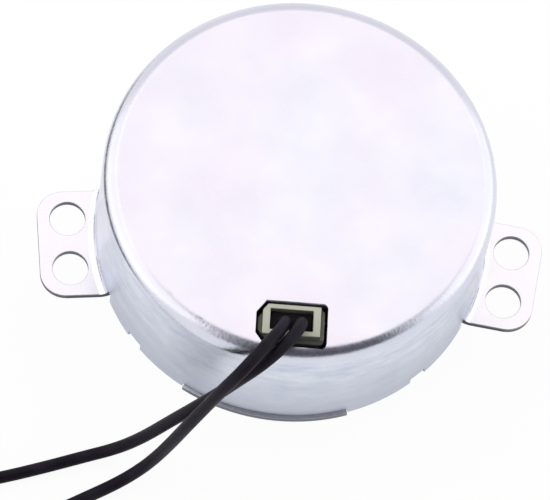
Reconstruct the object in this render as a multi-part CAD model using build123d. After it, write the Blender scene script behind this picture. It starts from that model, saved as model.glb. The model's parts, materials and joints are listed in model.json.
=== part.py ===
from build123d import *
import math
import os

# Synchronous gear motor in a drawn steel can.
# Units are millimetres. The origin is on the can's axis in the plane of its mounting ears.
# +Z points to the closed rear face, and the output shaft points along -Z.
# The plug window is on the -Y side, and the ears are on the X sides.

# Can and ears
can_diameter = 50.0
can_sheet = 0.9
rear_corner_radius = 2.1
ear_hole_radius = 2.3
ear_hole_distance = 3.7
ear_hole_step = 13.8
ear_side_margin = 1.55
ear_end_margin = 1.6
ear_corner_radius = 3.3
ear_bend_radius = 1.1
ear_slit_width = 0.6
ear_slit_length = 3.6

# Keyed window in the rear face, for the plug
window_middle_x = -0.15
window_width = 8.9
window_depth = 6.0
window_rim_distance = 1.8
window_key_width = 1.2
window_key_length = 1.6
window_corner_radius = 0.6

# Rim stakes that hold the front plate, and the plate's tongue
stake_middle_angle = -93.0
stake_half_spread = 47.0
stake_width = 2.4
stake_height = 1.3
stake_depth = 0.55
stake_lug_reach = 1.0
stake_lug_thickness = 0.45
stake_side_gap = 0.1
tongue_middle_angle = -95.0
tongue_spread = 49.6
tongue_proud = 0.4
tongue_gap = 0.1
tongue_side_gap_angle = 0.5

# Plates and the posts between them
front_plate_thickness = 0.9
gear_plate_thickness = 0.8
post_radius = 1.8
post_tenon_radius = 1.1
post_rim_distance = 3.05
post_angles = (30.0, -80.0, 190.0)

# Claw poles
pole_plate_thickness = 0.9
stator_height = 8.0
claw_count = 6
claw_tip_gap = 2.0
claw_root_width = 4.4
claw_tip_width = 2.6
claw_slot_length = 4.0
claw_thickness = 0.9
rear_pole_rim_distance = 4.6
air_gap = 0.5

# Rotor
rotor_share_of_coil = 0.58
magnet_bore_share = 0.53
rotor_flange_width = 1.2
rotor_flange_thickness = 0.5
rotor_boss_width = 1.2
rotor_boss_height = 0.9
rotor_pin_radius = 1.0
rotor_pin_shoulder_width = 0.4
rotor_washer_width = 1.2
rotor_washer_thickness = 0.2
pinion_hole_gap = 0.5

# Coil
bobbin_tube_thickness = 0.8
bobbin_flange_thickness = 0.7
coil_tower_gap = 0.5
winding_inset = 0.7
wrap_thickness = 0.25

# Plug tower on the bobbin, and the plug in it
tower_rim_width = 7.3
tower_rim_depth = 4.1
tower_far_gap = 0.2
tower_rim_below_face = 0.3
tower_collar_below_face = 1.1
tower_collar_near_gap = 0.9
tower_block_height = 3.3
tower_wall_x = 0.95
tower_wall_y = 0.65
plug_below_rim = 0.9
lead_pitch = 2.1
lead_pair_middle_x = 0.1
terminal_cell_width = 1.3
terminal_wall = 0.16
terminal_roof = 1.2
terminal_pin_width = 0.64
terminal_pin_end_gap = 0.4
terminal_pin_foot = 1.2

# Gear train
gear_rim_gap = 1.7
teeth_across_reach = 56
last_module_ratio = 1.125
shaft_offset_share = 0.5
pinion_teeth = 12
wheel_teeth = 30
last_pinion_teeth = 10
output_teeth = 40
pressure_angle = 25.0
tooth_addendum = 0.85
tooth_dedendum = 1.1
tooth_thinning = 0.06
wheel_thickness = 1.0
output_gear_thickness = 1.2
pinion_overlap = 0.2
wheel_below_gear_plate = 0.3
level_gap = 0.5
gear_sleeve_wall = 0.7
gear_pin_radius = 0.75
first_gear_angle = -150.0

# Output shaft
shaft_radius = 3.5
shaft_journal_step = 0.2
shaft_reach = 10.0
shaft_flat_depth = 0.7
shaft_chamfer = 0.4
shaft_pivot_radius = 2.0
bush_wall = 1.3
bush_reach = 2.0
bush_flange_width = 1.2
bush_flange_thickness = 0.7
bush_chamfer = 0.4
shaft_washer_thickness = 0.5

# Leads
lead_diameter = 1.6
lead_sides = 8
lead_arc_share = 0.45
lead_tip_diameter = 0.8
lead_tip_length = 5.0

# Clearances
running_clearance = 0.03
press_clearance = 0.02
slip_clearance = 0.05
end_clearance = 0.05
plug_clearance = 0.1
axial_play = 0.15
collar_clearance = 0.25

# Lead routes, from the plug to the bare end, with points chosen by hand.
# Each starts on top of the plug, arches over the rim and comes down to the level of the shaft's tip.
left_lead_points = [
    (-0.95, -19.6, 18.5),
    (-0.95, -19.6, 20.5),
    (-1.05, -20.2, 22.6),
    (-1.4, -21.5, 24.6),
    (-2.1, -23.5, 26.2),
    (-3.2, -25.8, 27.0),
    (-4.5, -28.0, 26.9),
    (-5.9, -29.8, 25.7),
    (-7.3, -30.8, 23.4),
    (-8.7, -31.0, 20.0),
    (-10.2, -30.9, 15.3),
    (-11.9, -30.6, 9.3),
    (-13.5, -30.4, 2.8),
    (-15.0, -30.2, -2.8),
    (-16.9, -30.6, -6.9),
    (-19.8, -32.0, -9.0),
    (-24.0, -34.4, -9.2),
    (-30.2, -38.0, -9.2),
    (-38.5, -41.8, -9.2),
    (-47.5, -44.6, -9.2),
    (-56.0, -46.4, -9.2),
    (-62.0, -47.2, -9.2),
]
right_lead_points = [
    (1.15, -19.6, 18.5),
    (1.15, -19.6, 20.4),
    (1.15, -20.2, 22.3),
    (0.9, -21.5, 24.0),
    (0.1, -23.3, 25.1),
    (-1.2, -25.2, 25.4),
    (-2.8, -26.9, 24.8),
    (-4.4, -28.0, 23.3),
    (-5.8, -28.4, 21.1),
    (-7.1, -28.2, 18.1),
    (-8.8, -28.0, 13.9),
    (-11.4, -27.9, 8.5),
    (-14.2, -27.7, 2.4),
    (-16.9, -27.5, -3.5),
    (-20.0, -27.7, -7.6),
    (-24.2, -28.6, -9.2),
    (-29.0, -30.4, -9.2),
    (-34.8, -32.4, -9.2),
    (-43.5, -34.9, -9.2),
    (-52.5, -36.8, -9.2),
    (-61.5, -38.0, -9.2),
    (-68.5, -38.5, -9.2),
]

# Radii of the can, and the outline of its ears
can_radius = can_diameter / 2
can_bore_radius = can_radius - can_sheet
plate_radius = can_bore_radius - slip_clearance
post_circle_radius = plate_radius - post_rim_distance
ear_hole_circle_radius = can_radius + ear_hole_distance
ear_turn = ear_hole_step / 2
ear_hole_half_spacing = ear_hole_circle_radius * math.sin(math.radians(ear_turn))
ear_width = 2 * (ear_hole_half_spacing + ear_hole_radius + ear_side_margin)
ear_hole_row = ear_hole_circle_radius * math.cos(math.radians(ear_turn))
ear_reach = ear_hole_row + ear_hole_radius + ear_end_margin

# Modules with which the train fills the can's bore, and where that puts the output shaft
train_reach = can_bore_radius - gear_rim_gap
module_fast = train_reach / teeth_across_reach
module_slow = module_fast * last_module_ratio
shaft_offset = shaft_offset_share * train_reach
wheel_tip_radius = module_fast * (wheel_teeth / 2 + tooth_addendum)
third_axis_radius = train_reach - wheel_tip_radius

# Gear levels, from the front plate up to the gear plate
journal_radius = shaft_radius + shaft_journal_step
journal_bore_radius = journal_radius + running_clearance
bush_radius = journal_radius + bush_wall
bush_flange_radius = bush_radius + bush_flange_width
bush_flange_high_z = front_plate_thickness + bush_flange_thickness
shaft_washer_z = bush_flange_high_z + end_clearance
output_gear_z = shaft_washer_z + shaft_washer_thickness + end_clearance
output_gear_high_z = output_gear_z + output_gear_thickness
third_wheel_z = output_gear_high_z + level_gap
second_wheel_z = third_wheel_z + wheel_thickness + level_gap
first_wheel_z = second_wheel_z + wheel_thickness + level_gap
gear_plate_z = first_wheel_z + wheel_thickness + wheel_below_gear_plate

# Motor levels, from the gear plate up to the can's rear face
front_pole_z = gear_plate_z + gear_plate_thickness
stator_low_z = front_pole_z + pole_plate_thickness
stator_high_z = stator_low_z + stator_height
rear_floor_z = stator_high_z + pole_plate_thickness
can_height = rear_floor_z + can_sheet
claw_length = stator_height - claw_tip_gap
winding_low_z = stator_low_z + bobbin_flange_thickness
winding_high_z = stator_high_z - bobbin_flange_thickness

# Window, and the tower and plug that stand in it
window_near_y = window_rim_distance - can_radius
window_far_y = window_near_y + window_depth
tower_rim_far_y = window_far_y - tower_far_gap
tower_middle_y = tower_rim_far_y - tower_rim_depth / 2
tower_collar_near_y = window_near_y + tower_collar_near_gap
tower_rim_z = can_height - tower_rim_below_face
tower_collar_z = can_height - tower_collar_below_face
tower_floor_z = stator_low_z + tower_block_height
plug_width = tower_rim_width - 2 * tower_wall_x - 2 * plug_clearance
plug_depth = tower_rim_depth - 2 * tower_wall_y - 2 * plug_clearance
plug_low_z = tower_floor_z + end_clearance
plug_high_z = tower_rim_z - plug_below_rim
terminal_high_z = plug_high_z - terminal_roof - end_clearance
terminal_roof_z = terminal_high_z - terminal_wall
lead_exit_xs = (lead_pair_middle_x - lead_pitch / 2, lead_pair_middle_x + lead_pitch / 2)

# Outside of the coil, which the tower limits
bobbin_flange_radius = -tower_rim_far_y - coil_tower_gap
winding_radius = bobbin_flange_radius - winding_inset

# Rotor, inside the claws
magnet_radius = rotor_share_of_coil * winding_radius
magnet_bore_radius = magnet_bore_share * magnet_radius
pinion_pitch_radius = module_fast * pinion_teeth / 2
pinion_tip_radius = pinion_pitch_radius + module_fast * tooth_addendum
pinion_hole_radius = pinion_tip_radius + pinion_hole_gap
rotor_pinion_low_z = first_wheel_z - pinion_overlap
rotor_washer_high_z = rotor_pinion_low_z - end_clearance
rotor_washer_low_z = rotor_washer_high_z - rotor_washer_thickness
rotor_shoulder_z = rotor_washer_low_z - end_clearance
rotor_shoulder_radius = rotor_pin_radius + rotor_pin_shoulder_width
rotor_flange_z = stator_low_z + axial_play
rotor_high_z = stator_high_z - axial_play
magnet_low_z = rotor_flange_z + rotor_flange_thickness
magnet_high_z = rotor_high_z - rotor_boss_height
claw_bore_radius = magnet_radius + air_gap
claw_outer_radius = claw_bore_radius + claw_thickness

# Bobbin's tube, round the claws
bobbin_bore_radius = claw_outer_radius + slip_clearance
bobbin_tube_radius = bobbin_bore_radius + bobbin_tube_thickness

# Distances between the axes of meshing gears
fast_distance = module_fast * (pinion_teeth + wheel_teeth) / 2
slow_distance = module_slow * (last_pinion_teeth + output_teeth) / 2


def polar(radius, angle, centre=(0.0, 0.0)):
    """Point at a radius and an angle in degrees from a centre."""
    turn = math.radians(angle)
    return (centre[0] + radius * math.cos(turn), centre[1] + radius * math.sin(turn))


def meeting_point(first, first_radius, second, second_radius):
    """Point at one radius from the first centre and another from the second, on the left of the line."""
    run_x = second[0] - first[0]
    run_y = second[1] - first[1]
    span = math.hypot(run_x, run_y)
    along = (first_radius**2 - second_radius**2 + span**2) / (2 * span)
    aside = math.sqrt(first_radius**2 - along**2)
    return (
        first[0] + (along * run_x - aside * run_y) / span,
        first[1] + (along * run_y + aside * run_x) / span,
    )


# Axes of the train, seen along Z
rotor_axis = (0.0, 0.0)
output_axis = (0.0, shaft_offset)
first_axis = polar(fast_distance, first_gear_angle)
third_axis = meeting_point(rotor_axis, third_axis_radius, output_axis, slow_distance)
second_axis = meeting_point(first_axis, fast_distance, third_axis, fast_distance)
gear_pin_axes = (first_axis, second_axis, third_axis)


def disc(radius, low, high, centre=(0.0, 0.0)):
    """Solid cylinder between two levels."""
    cylinder = Cylinder(radius, high - low, align=(Align.CENTER, Align.CENTER, Align.MIN))
    return Pos(centre[0], centre[1], low) * cylinder


def ring(radius, bore, low, high, centre=(0.0, 0.0)):
    """Cylinder with a bore through it."""
    return disc(radius, low, high, centre) - disc(bore, low, high, centre)


def block(low, high):
    """Box between two corners."""
    size = [top - bottom for bottom, top in zip(low, high)]
    return Pos(*low) * Box(*size, align=(Align.MIN, Align.MIN, Align.MIN))


def sector(inner, outer, low, high, middle_angle, spread):
    """Part of a ring, spread about a middle angle."""
    section = Plane.XZ * Pos((inner + outer) / 2, (low + high) / 2) * Rectangle(outer - inner, high - low)
    return Rot(0, 0, middle_angle - spread / 2) * revolve(section, Axis.Z, spread)


def radial_block(inner, outer, width, low, high, angle):
    """Box whose length points away from the can's axis."""
    return Rot(0, 0, angle) * block((inner, -width / 2, low), (outer, width / 2, high))


def stake_angles():
    """Angles of the four rim stakes, on both sides of the ears."""
    near = (stake_middle_angle - stake_half_spread, stake_middle_angle + stake_half_spread)
    return near + tuple(-angle for angle in near)


def ear_outline():
    """Plan of one ear, from inside the wall to its rounded outer corners."""
    inner = can_bore_radius - ear_corner_radius
    plan = Pos((inner + ear_reach) / 2, 0) * Rectangle(ear_reach - inner, ear_width)
    outer_corners = plan.vertices().group_by(Axis.X)[-1]
    return fillet(outer_corners, ear_corner_radius)


def ear_bend(inside):
    """Ring that rounds the inside, or the outside, of the bend between wall and ear."""
    centre_r = can_radius + ear_bend_radius
    centre_z = can_sheet + ear_bend_radius
    radius = ear_bend_radius if inside else ear_bend_radius + can_sheet
    start_r = centre_r - radius
    start_z = centre_z - radius
    square = Pos(start_r + radius / 2, start_z + radius / 2) * Rectangle(radius, radius)
    section = square - Pos(centre_r, centre_z) * Circle(radius)
    return revolve(Plane.XZ * section, Axis.Z)


def ear_places():
    """Locations of the right ear and of the left one, which mirrors it."""
    return (Rot(0, 0, -ear_turn), Rot(0, 0, 180 + ear_turn))


def ear_holes():
    """Cutters for the two holes of each ear, all on one circle."""
    angles = (0.0, -ear_hole_step, 180.0, 180.0 + ear_hole_step)
    high = can_sheet + ear_bend_radius
    return [
        disc(ear_hole_radius, -can_sheet, high, polar(ear_hole_circle_radius, angle))
        for angle in angles
    ]


def keyed_outline(inset, near_y):
    """Window outline, with its left corners cut off as a key, set in by a clearance."""
    left = window_middle_x - window_width / 2 + inset
    right = window_middle_x + window_width / 2 - inset
    far = window_far_y - inset
    plan = Polygon(
        (left + window_key_width, near_y),
        (right, near_y),
        (right, far),
        (left + window_key_width, far),
        (left, far - window_key_length),
        (left, near_y + window_key_length),
        align=None,
    )
    right_corners = plan.vertices().group_by(Axis.X)[-1]
    return fillet(right_corners, window_corner_radius)


def make_rear_can():
    """Drawn can with ears bent out of its rim, the plug window, and the stakes at its mouth."""
    shell = disc(can_radius, 0, can_height)
    shell = fillet(shell.edges().group_by(Axis.Z)[-1], rear_corner_radius)
    cavity = disc(can_bore_radius, 0, rear_floor_z)
    cavity = fillet(cavity.edges().group_by(Axis.Z)[-1], rear_corner_radius - can_sheet)
    inside_bend = ear_bend(True)
    outside_bend = ear_bend(False)
    bend_height = can_sheet + ear_bend_radius
    for place in ear_places():
        shell += place * extrude(ear_outline(), can_sheet)
        shell += inside_bend & (place * extrude(ear_outline(), bend_height))
    shell -= cavity
    for place in ear_places():
        shell -= outside_bend & (place * extrude(ear_outline(), bend_height))
        for side in (-1, 1):
            slit_y = side * (ear_width + ear_slit_width) / 2
            slit = Box(
                ear_slit_length,
                ear_slit_width,
                bend_height,
                align=(Align.CENTER, Align.CENTER, Align.MIN),
            )
            shell -= place * Pos(math.sqrt(can_radius**2 - slit_y**2), slit_y, 0) * slit
    for hole in ear_holes():
        shell -= hole
    window = extrude(keyed_outline(0, window_near_y), can_sheet + rear_corner_radius)
    shell -= Pos(0, 0, can_height - rear_corner_radius) * window
    tongue_slot_high = front_plate_thickness + tongue_gap
    tongue_slot_spread = tongue_spread + 2 * tongue_side_gap_angle
    shell -= sector(
        can_bore_radius - can_sheet,
        can_radius + can_sheet,
        -can_sheet,
        tongue_slot_high,
        tongue_middle_angle,
        tongue_slot_spread,
    )
    staked_radius = can_radius - stake_depth
    lug_width = stake_width - 2 * stake_side_gap
    for angle in stake_angles():
        outside = can_radius + can_sheet
        shell -= radial_block(staked_radius, outside, stake_width, -can_sheet, stake_height, angle)
        lug_inner = staked_radius - stake_lug_reach
        shell += radial_block(lug_inner, staked_radius, lug_width, 0, stake_lug_thickness, angle)
    return shell


def plate_holes(low, high, post_hole_radius, pin_hole_radius):
    """Cutters for the posts' tenons and the gear pins in either plate."""
    posts = [
        disc(post_hole_radius, low, high, polar(post_circle_radius, angle)) for angle in post_angles
    ]
    return posts + [disc(pin_hole_radius, low, high, axis) for axis in gear_pin_axes]


def make_front_plate():
    """Closing plate with a tongue through the rim and pockets for the stakes."""
    plate = disc(plate_radius, 0, front_plate_thickness)
    plate += sector(
        plate_radius - can_sheet,
        can_radius + tongue_proud,
        0,
        front_plate_thickness,
        tongue_middle_angle,
        tongue_spread,
    )
    pocket_inner = can_radius - stake_depth - stake_lug_reach - slip_clearance
    pocket_high = stake_lug_thickness + press_clearance
    for angle in stake_angles():
        plate -= radial_block(pocket_inner, can_radius, stake_width, 0, pocket_high, angle)
    cutters = plate_holes(
        0,
        front_plate_thickness,
        post_tenon_radius + press_clearance,
        gear_pin_radius + press_clearance,
    )
    cutters.append(disc(bush_radius + press_clearance, 0, front_plate_thickness, output_axis))
    cutters.append(disc(rotor_shoulder_radius + press_clearance, 0, front_plate_thickness))
    for cutter in cutters:
        plate -= cutter
    return plate


def make_gear_plate():
    """Inner plate that closes the gear space and holds the upper ends of the pins."""
    plate = disc(plate_radius, gear_plate_z, front_pole_z)
    cutters = plate_holes(
        gear_plate_z,
        front_pole_z,
        post_tenon_radius + press_clearance,
        gear_pin_radius + press_clearance,
    )
    pivot_hole = shaft_pivot_radius + running_clearance
    cutters.append(disc(pivot_hole, gear_plate_z, front_pole_z, output_axis))
    cutters.append(disc(pinion_hole_radius, gear_plate_z, front_pole_z))
    for cutter in cutters:
        plate -= cutter
    return plate


def make_spacer_posts():
    """Posts with a riveted tenon at each end."""
    posts = []
    for angle in post_angles:
        place = polar(post_circle_radius, angle)
        post = disc(post_radius, front_plate_thickness, gear_plate_z, place)
        post += disc(post_tenon_radius, end_clearance, front_pole_z - end_clearance, place)
        posts.append(post)
    return posts


def claw_outline(root_width, tip_width, length):
    """Tapered strip of one claw, drawn from its root upwards."""
    return Polygon(
        (-root_width / 2, 0),
        (root_width / 2, 0),
        (tip_width / 2, length),
        (-tip_width / 2, length),
        align=None,
    )


def claw_slot(low):
    """Opening inside the claw's root, left in the plate where the strip was drawn and bent up."""
    plan = Rot(0, 0, 90) * claw_outline(claw_root_width, claw_tip_width, claw_slot_length)
    strip = Pos(claw_bore_radius, 0, low) * extrude(plan, pole_plate_thickness)
    return strip & disc(claw_bore_radius, low, low + pole_plate_thickness)


def claw(root_z, direction):
    """Bent strip that follows the rotor, pointing up or down from its plate."""
    strip = extrude(claw_outline(claw_root_width, claw_tip_width, claw_length), claw_outer_radius)
    upright = Rot(0, 0, 90) * Rot(90, 0, 0) * strip
    if direction < 0:
        upright = Rot(180, 0, 0) * upright
    upright = Pos(0, 0, root_z) * upright
    low = min(root_z, root_z + direction * claw_length)
    return upright & ring(claw_outer_radius, claw_bore_radius, low, low + claw_length)


def make_pole_plate(plate, low, root_z, direction, first_angle):
    """Plate with a crown of claws lanced out of it."""
    for index in range(claw_count):
        turn = Rot(0, 0, first_angle + index * 360 / claw_count)
        plate -= turn * claw_slot(low)
        plate += turn * claw(root_z, direction)
    return plate


def make_front_pole_plate():
    """Pole plate at the gear end, with a hole for the rotor's pinion."""
    plate = ring(plate_radius, pinion_hole_radius, front_pole_z, stator_low_z)
    return make_pole_plate(plate, front_pole_z, stator_low_z, 1, 0.0)


def make_rear_pole_plate():
    """Pole plate against the can's floor, notched round the plug tower."""
    pin_hole = rotor_pin_radius + press_clearance
    plate = ring(can_bore_radius - rear_pole_rim_distance, pin_hole, stator_high_z, rear_floor_z)
    notch_half = window_width / 2 + collar_clearance
    notch = block(
        (window_middle_x - notch_half, -can_radius, stator_high_z),
        (window_middle_x + notch_half, window_far_y + collar_clearance, rear_floor_z),
    )
    half_step = 180 / claw_count
    return make_pole_plate(plate - notch, stator_high_z, stator_high_z, -1, half_step)


def rim_outline():
    """Plan of the tower's rim, kept inside the key's corners."""
    plan = Rectangle(tower_rim_width, tower_rim_depth)
    keyed = keyed_outline(collar_clearance, tower_collar_near_y)
    return Pos(window_middle_x, tower_middle_y) * plan & keyed


def tower_cavity():
    """Space inside the tower's walls, which the plug fills."""
    plan = Rectangle(tower_rim_width - 2 * tower_wall_x, tower_rim_depth - 2 * tower_wall_y)
    cavity = extrude(plan, tower_rim_z - tower_floor_z)
    return Pos(window_middle_x, tower_middle_y, tower_floor_z) * cavity


def make_coil_bobbin():
    """Flanged bobbin with the plug tower on its front flange."""
    bobbin = ring(bobbin_tube_radius, bobbin_bore_radius, stator_low_z, stator_high_z)
    bobbin += ring(bobbin_flange_radius, bobbin_bore_radius, stator_low_z, winding_low_z)
    bobbin += ring(bobbin_flange_radius, bobbin_bore_radius, winding_high_z, stator_high_z)
    left = window_middle_x - tower_rim_width / 2
    right = window_middle_x + tower_rim_width / 2
    bobbin += block(
        (left, tower_collar_near_y, stator_low_z),
        (right, -winding_radius, winding_low_z),
    )
    collar = keyed_outline(collar_clearance, tower_collar_near_y)
    bobbin += Pos(0, 0, stator_low_z) * extrude(collar, tower_collar_z - stator_low_z)
    bobbin += Pos(0, 0, stator_low_z) * extrude(rim_outline(), tower_rim_z - stator_low_z)
    bobbin -= tower_cavity()
    hole_half = terminal_pin_width / 2 + press_clearance
    for exit_x in lead_exit_xs:
        bobbin -= block(
            (exit_x - hole_half, tower_middle_y - hole_half, tower_floor_z - terminal_pin_foot),
            (exit_x + hole_half, tower_middle_y + hole_half, tower_floor_z),
        )
    return bobbin


def make_coil_winding():
    """Wound copper between the flanges."""
    bore = bobbin_tube_radius + press_clearance
    return ring(winding_radius, bore, winding_low_z, winding_high_z)


def make_coil_wrap():
    """Tape round the winding."""
    bore = winding_radius + press_clearance
    return ring(bore + wrap_thickness, bore, winding_low_z, winding_high_z)


def make_terminal_pins():
    """Two square pins that stand in the tower's floor."""
    half = terminal_pin_width / 2
    low = tower_floor_z - terminal_pin_foot
    pins = []
    for exit_x in lead_exit_xs:
        pin = block(
            (exit_x - half, tower_middle_y - half, low),
            (exit_x + half, tower_middle_y + half, terminal_roof_z - terminal_pin_end_gap),
        )
        pins.append(chamfer(pin.edges().group_by(Axis.Z)[-1], half / 2))
    return pins


def make_plug_housing():
    """Two-way plug with a square cell for each terminal."""
    plan = Pos(window_middle_x, tower_middle_y) * Rectangle(plug_width, plug_depth)
    plug = Pos(0, 0, plug_low_z) * extrude(plan, plug_high_z - plug_low_z)
    half = terminal_cell_width / 2
    for exit_x in lead_exit_xs:
        plug -= block(
            (exit_x - half, tower_middle_y - half, plug_low_z),
            (exit_x + half, tower_middle_y + half, plug_high_z - terminal_roof),
        )
    return plug


def make_crimp_terminals():
    """Box terminals, one in each cell of the plug, that grip the pins."""
    outer = terminal_cell_width / 2 - slip_clearance
    inner = outer - terminal_wall
    low = plug_low_z + end_clearance
    terminals = []
    for exit_x in lead_exit_xs:
        shell = block(
            (exit_x - outer, tower_middle_y - outer, low),
            (exit_x + outer, tower_middle_y + outer, terminal_high_z),
        )
        shell -= block(
            (exit_x - inner, tower_middle_y - inner, low),
            (exit_x + inner, tower_middle_y + inner, terminal_roof_z),
        )
        terminals.append(shell)
    return terminals


def involute_angle(radius, base):
    """Polar angle of an involute at a radius, measured from its start on the base circle."""
    roll = math.sqrt(max((radius / base) ** 2 - 1, 0))
    return roll - math.atan(roll)


def gear_outline(module, teeth, phase):
    """Toothed outline with involute flanks, one tooth centred on the phase angle in degrees."""
    pitch = module * teeth / 2
    base = pitch * math.cos(math.radians(pressure_angle))
    tip = pitch + module * tooth_addendum
    root = pitch - module * tooth_dedendum
    start = max(root, base)
    middle = (start + tip) / 2
    half_tooth = math.pi / (2 * teeth) - tooth_thinning / (2 * pitch)
    half_at_base = half_tooth + involute_angle(pitch, base)

    def flank_point(radius, centre, side):
        turn = half_at_base - involute_angle(radius, base)
        return polar(radius, centre + side * math.degrees(turn))

    edges = []
    step = 360 / teeth
    for index in range(teeth):
        centre = phase + index * step
        low_root = polar(root, centre - math.degrees(half_at_base))
        high_root = polar(root, centre + math.degrees(half_at_base))
        next_root = polar(root, centre + step - math.degrees(half_at_base))
        rising = [flank_point(radius, centre, -1) for radius in (start, middle, tip)]
        falling = [flank_point(radius, centre, 1) for radius in (tip, middle, start)]
        if root < start:
            edges.append(Line(low_root, rising[0]))
        edges.append(Polyline(*rising, *falling))
        if root < start:
            edges.append(Line(falling[-1], high_root))
            edges.append(Line(high_root, next_root))
        else:
            edges.append(Line(falling[-1], flank_point(start, centre + step, -1)))
    return make_face(edges)


def toothed(module, teeth, phase, low, high, centre=(0.0, 0.0)):
    """Toothed disc between two levels."""
    return Pos(centre[0], centre[1], low) * extrude(gear_outline(module, teeth, phase), high - low)


def meshing_phase(driver, driver_teeth, driver_phase, driven, driven_teeth):
    """Phase that puts a gap of the driven gear where the driver's tooth meets it."""
    line = math.degrees(math.atan2(driven[1] - driver[1], driven[0] - driver[0]))
    teeth_past = (line - driver_phase) * driver_teeth / 360
    return line + 180 - (0.5 - teeth_past) * 360 / driven_teeth


def make_rotor_magnet():
    """Ferrite ring that seats on the hub's flange."""
    return ring(magnet_radius, magnet_bore_radius + press_clearance, magnet_low_z, magnet_high_z)


def make_rotor_hub():
    """Moulded hub that carries the magnet, with the first pinion below it."""
    hub = disc(magnet_bore_radius + rotor_flange_width, rotor_flange_z, magnet_low_z)
    hub += disc(magnet_bore_radius, magnet_low_z, magnet_high_z)
    hub += disc(rotor_pin_radius + rotor_boss_width, magnet_high_z, rotor_high_z)
    hub += disc(pinion_tip_radius, gear_plate_z, rotor_flange_z)
    hub += toothed(module_fast, pinion_teeth, 0, rotor_pinion_low_z, gear_plate_z)
    return hub - disc(rotor_pin_radius + running_clearance, rotor_pinion_low_z, rotor_high_z)


def make_rotor_pin():
    """Pin with a shoulder under the rotor, held by the front plate and the rear pole plate."""
    pin = disc(rotor_shoulder_radius, end_clearance, rotor_shoulder_z)
    return pin + disc(rotor_pin_radius, rotor_shoulder_z, rear_floor_z - end_clearance)


def make_rotor_washer():
    """Thrust washer between the pin's shoulder and the pinion."""
    radius = rotor_pin_radius + rotor_washer_width
    bore = rotor_pin_radius + running_clearance
    return ring(radius, bore, rotor_washer_low_z, rotor_washer_high_z)


def make_gear_pin(axis):
    """Plain pin between the two plates."""
    return disc(gear_pin_radius, end_clearance, front_pole_z - end_clearance, axis)


def make_compound_gear(axis, wheel_z, wheel_phase, pinion_module, pinion_count, pinion_low_z):
    """Wheel and pinion on one sleeve that runs on its pin."""
    bore = gear_pin_radius + running_clearance
    sleeve_low = front_plate_thickness + axial_play
    sleeve_high = gear_plate_z - axial_play
    gear = disc(bore + gear_sleeve_wall, sleeve_low, sleeve_high, axis)
    gear += toothed(module_fast, wheel_teeth, wheel_phase, wheel_z, wheel_z + wheel_thickness, axis)
    gear += toothed(pinion_module, pinion_count, 0, pinion_low_z, wheel_z, axis)
    return gear - disc(bore, sleeve_low, sleeve_high, axis)


def make_first_gear():
    """Wheel driven by the rotor's pinion."""
    phase = meshing_phase(rotor_axis, pinion_teeth, 0, first_axis, wheel_teeth)
    low = second_wheel_z - pinion_overlap
    return make_compound_gear(first_axis, first_wheel_z, phase, module_fast, pinion_teeth, low)


def make_second_gear():
    """Wheel driven by the first gear's pinion."""
    phase = meshing_phase(first_axis, pinion_teeth, 0, second_axis, wheel_teeth)
    low = third_wheel_z - pinion_overlap
    return make_compound_gear(second_axis, second_wheel_z, phase, module_fast, pinion_teeth, low)


def make_third_gear():
    """Wheel driven by the second gear's pinion, with the coarser last pinion."""
    phase = meshing_phase(second_axis, pinion_teeth, 0, third_axis, wheel_teeth)
    low = output_gear_z - pinion_overlap
    return make_compound_gear(third_axis, third_wheel_z, phase, module_slow, last_pinion_teeth, low)


def make_output_gear():
    """Last gear, pressed on the output shaft."""
    phase = meshing_phase(third_axis, last_pinion_teeth, 0, output_axis, output_teeth)
    gear = toothed(module_slow, output_teeth, phase, output_gear_z, output_gear_high_z, output_axis)
    return gear - disc(journal_radius + press_clearance, output_gear_z, output_gear_high_z, output_axis)


def make_output_shaft():
    """Shaft with a flat up to its journal, which runs in the bush, and a pivot in the gear plate."""
    shaft = disc(shaft_radius, -shaft_reach, -bush_reach, output_axis)
    shaft = chamfer(shaft.edges().group_by(Axis.Z)[0], shaft_chamfer)
    shaft += disc(journal_radius, -bush_reach, output_gear_high_z, output_axis)
    shaft += disc(shaft_pivot_radius, output_gear_high_z, front_pole_z - end_clearance, output_axis)
    axis_x, axis_y = output_axis
    flat_y = axis_y + shaft_radius - shaft_flat_depth
    flat = block(
        (axis_x - shaft_radius, flat_y, -shaft_reach),
        (axis_x + shaft_radius, flat_y + shaft_radius, -bush_reach),
    )
    return shaft - flat


def make_shaft_bush():
    """Flanged bush pressed through the front plate."""
    bush = disc(bush_radius, -bush_reach, front_plate_thickness, output_axis)
    bush = chamfer(bush.edges().group_by(Axis.Z)[0], bush_chamfer)
    bush += disc(bush_flange_radius, front_plate_thickness, bush_flange_high_z, output_axis)
    return bush - disc(journal_bore_radius, -bush_reach, bush_flange_high_z, output_axis)


def make_shaft_washer():
    """Thrust washer between the bush and the output gear."""
    high = shaft_washer_z + shaft_washer_thickness
    return ring(bush_radius, journal_bore_radius, shaft_washer_z, high, output_axis)


def turn_between(before, corner, after):
    """Angle in degrees by which a route turns at a corner."""
    return (corner - before).get_angle(after - corner)


def lead_path(name, points):
    """Straight runs joined by tangent arcs, each as large as its two runs allow."""
    corners = [Vector(*point) for point in points]
    radii = []
    for before, corner, after in zip(corners, corners[1:], corners[2:]):
        shorter = min((corner - before).length, (after - corner).length)
        half_turn = math.radians(turn_between(before, corner, after)) / 2
        radii.append(lead_arc_share * shorter / math.tan(half_turn))
    print(name, "radii", [round(radius, 1) for radius in radii])
    return FilletPolyline(*corners, radius=radii)


def make_lead(name, points):
    """Lead along its route, its round section drawn with a few flat sides."""
    path = lead_path(name, points)
    section = Plane(origin=path @ 0, z_dir=path % 0) * RegularPolygon(lead_diameter / 2, lead_sides)
    lead = sweep(section, path=path)
    volume_share = lead.volume / (section.area * path.length)
    print(name, "length", round(path.length, 1), "volume share", round(volume_share, 4))
    return lead


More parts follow.
